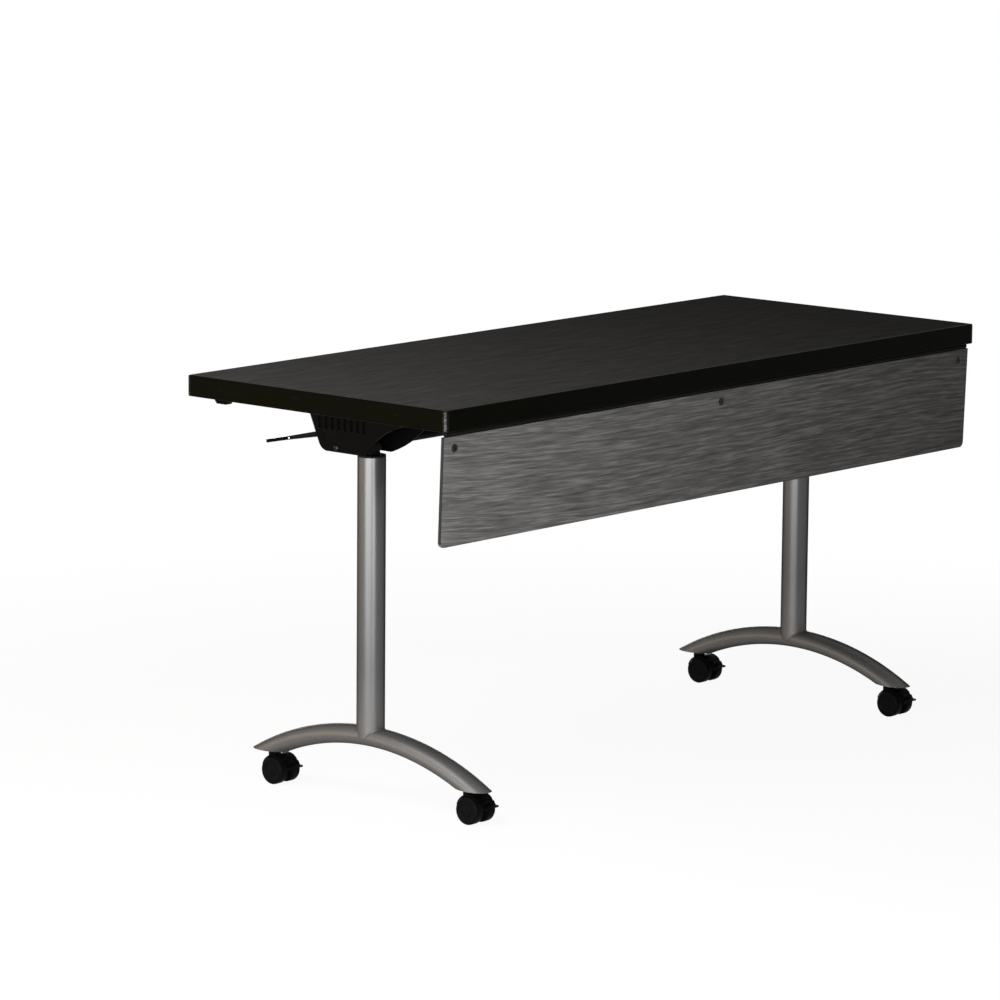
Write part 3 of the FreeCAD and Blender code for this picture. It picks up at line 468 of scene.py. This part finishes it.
def board_finish():
    """Pressed particle board: flat chips of several browns."""
    finish = Finish("particle_board", Specular_IOR_Level=0.15, Roughness=0.85)
    place = finish.scaled(240.0, 240.0, 520.0)
    chips = finish.add("ShaderNodeTexVoronoi", {}, {"Vector": place, "Scale": 1.0}, "Color")
    chip = finish.add("ShaderNodeSeparateColor", {}, {"Color": chips})
    fine = finish.noise(finish.place, scale=900.0, detail=3.0, roughness=0.6)
    shade = chip * BOARD_CHIP_SHARE + fine * (1 - BOARD_CHIP_SHARE)
    finish.link("Base Color", finish.ramp(shade, BOARD_TONES))
    finish.bump(chip, strength=0.3, distance=0.3 * MM)
    return finish.material


def backer_finish():
    """Dark phenolic backer sheet with a faint paper mottle."""
    finish = Finish("phenolic_backer", Specular_IOR_Level=0.01)
    paper = finish.noise(finish.scaled(60.0, 160.0, 60.0), detail=5.0, roughness=0.6)
    finish.link("Base Color", finish.ramp(paper, BACKER_TONES))
    finish.link("Roughness", finish.spread(paper, *BACKER_ROUGHNESS))
    finish.bump(paper, strength=0.15, distance=0.3 * MM)
    return finish.material


def bush_finish():
    """Natural acetal with faint turning marks."""
    finish = Finish("natural_acetal", Specular_IOR_Level=0.4)
    ring = finish.noise(finish.scaled(900.0, 40.0, 40.0), detail=2.0)
    finish.link("Base Color", finish.blend(ring, *ACETAL_COLOURS))
    finish.link("Roughness", finish.spread(ring, *ACETAL_ROUGHNESS))
    finish.bump(ring, strength=0.08, distance=0.2 * MM)
    return finish.material


finishes = {
    "grey_laminate": laminate_finish(),
    "black_vinyl": vinyl_finish(),
    "black_moulding": moulding_finish("moulded_nylon", low=0.0007, high=0.0014, fineness=1100.0, gloss=0.42),
    "caster_wheel": moulding_finish("nylon_wheel", low=0.0014, high=0.0027, fineness=600.0, gloss=0.34),
    "silver_paint": silver_finish(),
    "bright_steel": steel_finish("zinc_plated_steel", dark=0.42, bright=0.62, rough=0.22,
                                 line_scale=(700.0, 30.0, 30.0)),
    "black_steel": steel_finish("black_oxide_steel", dark=0.010, bright=0.030, rough=0.30,
                                line_scale=(300.0, 300.0, 300.0)),
    "black_paint": black_paint_finish(),
    "cast_head": cast_finish(),
    "particle_board": board_finish(),
    "dark_backer": backer_finish(),
    "bush_plastic": bush_finish(),
}
bodies = frame["record"]["behaviour"]["bodies"]
node_body = {node: body for body, nodes in bodies.items() for node in nodes}
node_slot = {entry["node"]: entry["material_slot"] for entry in frame["record"]["subparts"]}
for name, solid in frame["nodes"].items():
    solid.data.materials.clear()
    solid.data.materials.append(finishes[node_slot[name]])


# Pieces
def new_piece(name, shape, slot, body):
    """Turns a finished bmesh into a piece with its finish, on the body that carries it."""
    mesh = bpy.data.meshes.new(name)
    for face in shape.faces:
        face.smooth = True
    shape.to_mesh(mesh)
    shape.free()
    mesh.set_sharp_from_angle(angle=SHARP_ANGLE)
    mesh.materials.append(finishes[slot])
    piece = bpy.data.objects.new(name, mesh)
    bpy.context.scene.collection.objects.link(piece)
    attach(piece, body)
    return piece


def merged_solid(node):
    """A bmesh of a solid, with its loose triangles merged."""
    shape = bmesh.new()
    shape.from_mesh(frame["nodes"][node].data)
    bmesh.ops.remove_doubles(shape, verts=shape.verts, dist=MERGE)
    return shape


def softened(node, width):
    """A copy of a solid with smooth faces and its edges rounded."""
    shape = merged_solid(node)
    bmesh.ops.dissolve_limit(shape, angle_limit=FLAT_ANGLE, verts=shape.verts, edges=shape.edges)
    piece = new_piece(node + "_rounded", shape, node_slot[node], node_body[node])
    rounding = piece.modifiers.new("rounded_edges", "BEVEL")
    rounding.width = width
    rounding.segments = ROUNDING_SEGMENTS
    rounding.limit_method = "ANGLE"
    rounding.angle_limit = SHARP_ANGLE
    rounding.harden_normals = True
    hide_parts(node)


def extruded(shape, face, rise):
    """Extrudes a face along Z and gives the new face."""
    made = bmesh.ops.extrude_face_region(shape, geom=[face])["geom"]
    moved = [item for item in made if isinstance(item, bmesh.types.BMFace)][0]
    bmesh.ops.translate(shape, verts=moved.verts, vec=(0, 0, rise))
    return moved


def socket_head(shape, place, axis, length, radius):
    """A domed socket screw: a disc raised by insets, a hexagonal recess, and its shank."""
    socket = radius * SOCKET_SHARE
    disc = bmesh.ops.create_circle(shape, cap_ends=True, segments=HEAD_SEGMENTS, radius=radius)["verts"]
    verts = list(disc)
    crown = extruded(shape, disc[0].link_faces[0], HEAD_WALL)
    verts += list(crown.verts)
    rise = HEAD_HEIGHT - HEAD_WALL
    inset = (radius - socket) / DOME_STEPS
    for step in range(DOME_STEPS):
        start = math.sin(step / DOME_STEPS * QUARTER_TURN)
        end = math.sin((step + 1) / DOME_STEPS * QUARTER_TURN)
        bmesh.ops.inset_individual(shape, faces=[crown], thickness=inset, depth=(end - start) * rise)
        verts += list(crown.verts)
    for vert in crown.verts:
        angle = math.atan2(vert.co.y, vert.co.x)
        sector = (angle + SOCKET_SIDE / 2) % SOCKET_SIDE - SOCKET_SIDE / 2
        reach = socket * math.cos(SOCKET_SIDE / 2) / math.cos(sector)
        vert.co.x = reach * math.cos(angle)
        vert.co.y = reach * math.sin(angle)
    recess = extruded(shape, crown, -SOCKET_DEPTH)
    verts += list(recess.verts)
    bmesh.ops.delete(shape, geom=[crown], context="FACES_ONLY")
    shank = bmesh.ops.create_cone(shape, cap_ends=True, segments=SHANK_SEGMENTS, depth=length,
                                  radius1=SHANK_RADIUS * SHANK_TAPER, radius2=SHANK_RADIUS)["verts"]
    bmesh.ops.translate(shape, verts=shank, vec=(0, 0, -length / 2))
    turn = Vector((0, 0, 1)).rotation_difference(Vector(axis)).to_matrix().to_4x4()
    everything = list(set(verts + shank))
    bmesh.ops.transform(shape, matrix=Matrix.Translation(place) @ turn, verts=everything)


def solid_boxes(node):
    """The lowest and highest corner of each separate solid in a node."""
    shape = merged_solid(node)
    left = set(shape.verts)
    boxes = []
    while left:
        group = [left.pop()]
        for vert in group:
            for edge in vert.link_edges:
                other = edge.other_vert(vert)
                if other in left:
                    left.remove(other)
                    group.append(other)
        low = Vector([min(vert.co[axis] for vert in group) for axis in range(3)])
        high = Vector([max(vert.co[axis] for vert in group) for axis in range(3)])
        boxes.append((low, high))
    shape.free()
    return boxes


def screws(node, axis_of, radius=HEAD_RADIUS):
    """Replaces a node of screws by domed socket screws. axis_of says where a screw's head points."""
    shape = bmesh.new()
    for low, high in solid_boxes(node):
        middle = (low + high) / 2
        axis = Vector(axis_of(middle))
        half = abs((high - low).dot(axis)) / 2
        seat = middle + axis * (half - HEAD_HEIGHT)
        socket_head(shape, seat, axis, 2 * half - HEAD_HEIGHT, radius)
    bmesh.ops.recalc_face_normals(shape, faces=shape.faces)
    piece = new_piece(node + "_socket_heads", shape, node_slot[node], node_body[node])
    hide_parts(node)


def turned(shape, points, y, z, steps):
    """Spins a line of (x, radius) points round an axis along X."""
    verts = [shape.verts.new((x, y, z + radius)) for x, radius in points]
    edges = [shape.edges.new(pair) for pair in zip(verts, verts[1:])]
    bmesh.ops.spin(shape, geom=verts + edges, cent=(0, y, z), axis=(1, 0, 0), angle=FULL_TURN,
                   steps=steps, use_merge=True)
    bmesh.ops.remove_doubles(shape, verts=shape.verts, dist=MERGE)
    bmesh.ops.recalc_face_normals(shape, faces=shape.faces)


def wheel_profile(width, radius):
    """(distance from the inner face, radius) of a caster wheel's half section, from hub to hub cap."""
    inner = [(along * width, out * radius) for along, out in INNER_FACE]
    outer = []
    for step in range(SHOULDER_STEPS + 1):
        angle = step / SHOULDER_STEPS * QUARTER_TURN
        rise = 1 - math.sin(angle)
        fall = 1 - math.cos(angle)
        inner.append((INNER_SHOULDER * width * fall, radius - INNER_SHOULDER * width * rise))
        outer.append((width - OUTER_SHOULDER * width * rise, radius - OUTER_SHOULDER * width * fall))
    return inner + outer + [(along * width, out * radius) for along, out in OUTER_FACE]


def wheel(node, outward):
    """Replaces a wheel by a turned one, with its hub cap on the outward side."""
    low, high = (Vector(corner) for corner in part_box(node))
    middle = (low + high) / 2
    start = low.x if outward > 0 else high.x
    profile = wheel_profile(high.x - low.x, (high.z - low.z) / 2)
    shape = bmesh.new()
    turned(shape, [(start + outward * x, radius) for x, radius in profile], middle.y, middle.z, WHEEL_STEPS)
    piece = new_piece(node + "_turned", shape, node_slot[node], node_body[node])
    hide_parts(node)


def rivet(side, x):
    """A lever's rivet: a domed head on each of its two sides."""
    shape = bmesh.new()
    for outward in (-1, 1):
        seat = x + outward * RIVET_SEAT
        points = [(seat, 0.0)]
        for step in range(RIVET_STEPS + 1):
            angle = step / RIVET_STEPS * QUARTER_TURN
            rise = outward * RIVET_HEIGHT * math.sin(angle)
            points.append((seat + rise, RIVET_RADIUS * math.cos(angle)))
        turned(shape, points, *RIVET_PLACE, RIVET_SEGMENTS)
    new_piece(f"{side}_lever_rivet", shape, "bright_steel", node_body[f"{side}_release_lever"])


def foot_height(x, y):
    """Height of the foot's upper surface under a point of the column's wall."""
    middle = FOOT_ARC - FOOT_HEIGHT / 2
    across = min(abs(x) / (FOOT_WIDTH / 2), 1.0)
    radius = middle + FOOT_HEIGHT / 2 * math.sqrt(1 - across * across)
    return FOOT_TOP - FOOT_ARC + math.sqrt(radius * radius - y * y)


def weld(name, leg_x):
    """A small weld bead round the coped foot of a column."""
    curve = bpy.data.curves.new(name, "CURVE")
    curve.dimensions = "3D"
    curve.bevel_depth = WELD_RADIUS
    curve.bevel_resolution = WELD_RESOLUTION
    line = curve.splines.new("POLY")
    line.points.add(WELD_POINTS - 1)
    line.use_cyclic_u = True
    for index, point in enumerate(line.points):
        angle = FULL_TURN * index / WELD_POINTS
        x = COLUMN_RADIUS * math.cos(angle)
        y = COLUMN_RADIUS * math.sin(angle)
        point.co = (leg_x + x, y, foot_height(x, y), 1.0)
    bent = bpy.data.objects.new(name, curve)
    mesh = bpy.data.meshes.new_from_object(bent)
    bpy.data.objects.remove(bent)
    shape = bmesh.new()
    shape.from_mesh(mesh)
    bmesh.ops.remove_doubles(shape, verts=shape.verts, dist=MERGE)
    new_piece(name, shape, "silver_paint", "base")


for name in frame["nodes"]:
    for ending, width in ROUNDINGS.items():
        if name.endswith(ending):
            softened(name, width)
for row in ("front", "back"):
    for side, sign in (("left", -1), ("right", 1)):
        wheel(f"{row}_{side}_outer_wheel", sign)
        wheel(f"{row}_{side}_inner_wheel", -sign)
screws("panel_screws", lambda middle: FORWARD, PANEL_HEAD_RADIUS)
screws("cover_screws", lambda middle: (math.copysign(1, middle.x), 0, 0))
for name in ("housing_screws", "bracket_screws", "bumper_screws"):
    screws(name, lambda middle: DOWN)
rivet("left", -LEG_X)
rivet("right", LEG_X)
weld("left_column_weld", -LEG_X)
weld("right_column_weld", LEG_X)


# Studio
def seen_rays(nodes):
    """1 for camera, glossy and transmission rays, else 0."""
    seen = nodes.add("ShaderNodeLightPath", {}, {}, "Is Camera Ray")
    for ray in ("Is Glossy Ray", "Is Transmission Ray"):
        seen = seen.math("MAXIMUM", seen, nodes.add("ShaderNodeLightPath", {}, {}, ray))
    return seen


def floor_material():
    """A pale floor, white to the camera and in reflections, that takes the shadow near the table."""
    material = bpy.data.materials.new("studio_floor")
    material.use_nodes = True
    tree = material.node_tree
    tree.nodes.remove(tree.nodes["Principled BSDF"])
    nodes = Nodes(tree)
    place = nodes.add("ShaderNodeTexCoord", {}, {}, "Object")
    distance = nodes.add("ShaderNodeVectorMath", {"operation": "LENGTH"}, {0: place}, "Value")
    fade = {"Value": distance, "From Min": SHADOW_REACH, "From Max": SHADOW_FADE, "To Min": FLOOR_GLOW}
    share = seen_rays(nodes) * nodes.add("ShaderNodeMapRange", {}, fade)
    matt = nodes.add("ShaderNodeBsdfDiffuse", {}, {"Color": opaque(FLOOR_COLOUR)})
    glow = nodes.add("ShaderNodeEmission", {}, {})
    mix = nodes.add("ShaderNodeMixShader", {}, {"Fac": share, SHADER_FIRST: matt, SHADER_SECOND: glow})
    tree.links.new(mix.socket, tree.nodes["Material Output"].inputs["Surface"])
    return material


def set_floor():
    mesh = bpy.data.meshes.new("studio_floor")
    shape = bmesh.new()
    bmesh.ops.create_grid(shape, x_segments=1, y_segments=1, size=FLOOR_SIZE / 2)
    shape.to_mesh(mesh)
    shape.free()
    mesh.materials.append(floor_material())
    floor = bpy.data.objects.new("studio_floor", mesh)
    bpy.context.scene.collection.objects.link(floor)


def set_world():
    """White to the camera and in reflections, and a weak fill light."""
    world = bpy.data.worlds.new("studio")
    world.use_nodes = True
    nodes = Nodes(world.node_tree)
    background = world.node_tree.nodes["Background"]
    strength = nodes.add("ShaderNodeMapRange", {}, {"Value": seen_rays(nodes), "To Min": SKY_FILL})
    world.node_tree.links.new(strength.socket, background.inputs["Strength"])
    background.inputs["Color"].default_value = opaque(WHITE)
    bpy.context.scene.world = world


def set_lamp(name, place, target, size, power, colour=WHITE):
    lamp = bpy.data.lights.new(name, "AREA")
    lamp.shape = "RECTANGLE"
    lamp.size, lamp.size_y = size
    lamp.energy = power
    lamp.color = colour
    stand = bpy.data.objects.new(name, lamp)
    stand.location = place
    stand.rotation_euler = (Vector(target) - Vector(place)).to_track_quat("-Z", "Y").to_euler()
    bpy.context.scene.collection.objects.link(stand)


def set_camera():
    forward = Vector((math.cos(CAMERA_PITCH) * math.sin(CAMERA_YAW),
                      math.cos(CAMERA_PITCH) * math.cos(CAMERA_YAW),
                      math.sin(CAMERA_PITCH)))
    level = Vector((math.cos(CAMERA_YAW), -math.sin(CAMERA_YAW), 0.0))
    upright = level.cross(forward)
    right = math.cos(CAMERA_ROLL) * level + math.sin(CAMERA_ROLL) * upright
    up = math.cos(CAMERA_ROLL) * upright - math.sin(CAMERA_ROLL) * level
    turn = Matrix((right, up, -forward)).transposed().to_4x4()
    camera = bpy.data.cameras.new("photo_camera")
    camera.lens = LENS
    camera.sensor_width = SENSOR
    camera.clip_end = CLIP_END
    stand = bpy.data.objects.new("photo_camera", camera)
    stand.matrix_world = Matrix.Translation(CAMERA_PLACE) @ turn
    bpy.context.scene.collection.objects.link(stand)
    bpy.context.scene.camera = stand


set_floor()
set_world()
set_lamp("low_softbox", LOW_PLACE, COLUMN_TARGET, LOW_SIZE, LOW_POWER)
set_lamp("front_softbox", FRONT_PLACE, COLUMN_TARGET, FRONT_SIZE, FRONT_POWER)
set_lamp("high_softbox", HIGH_PLACE, HIGH_TARGET, HIGH_SIZE, HIGH_POWER)
set_lamp("warm_softbox", WARM_PLACE, COLUMN_TARGET, WARM_SIZE, WARM_POWER, WARM_COLOUR)
set_lamp("back_softbox", BACK_PLACE, BACK_TARGET, BACK_SIZE, BACK_POWER)
set_camera()
bpy.context.scene.view_settings.view_transform = "Standard"
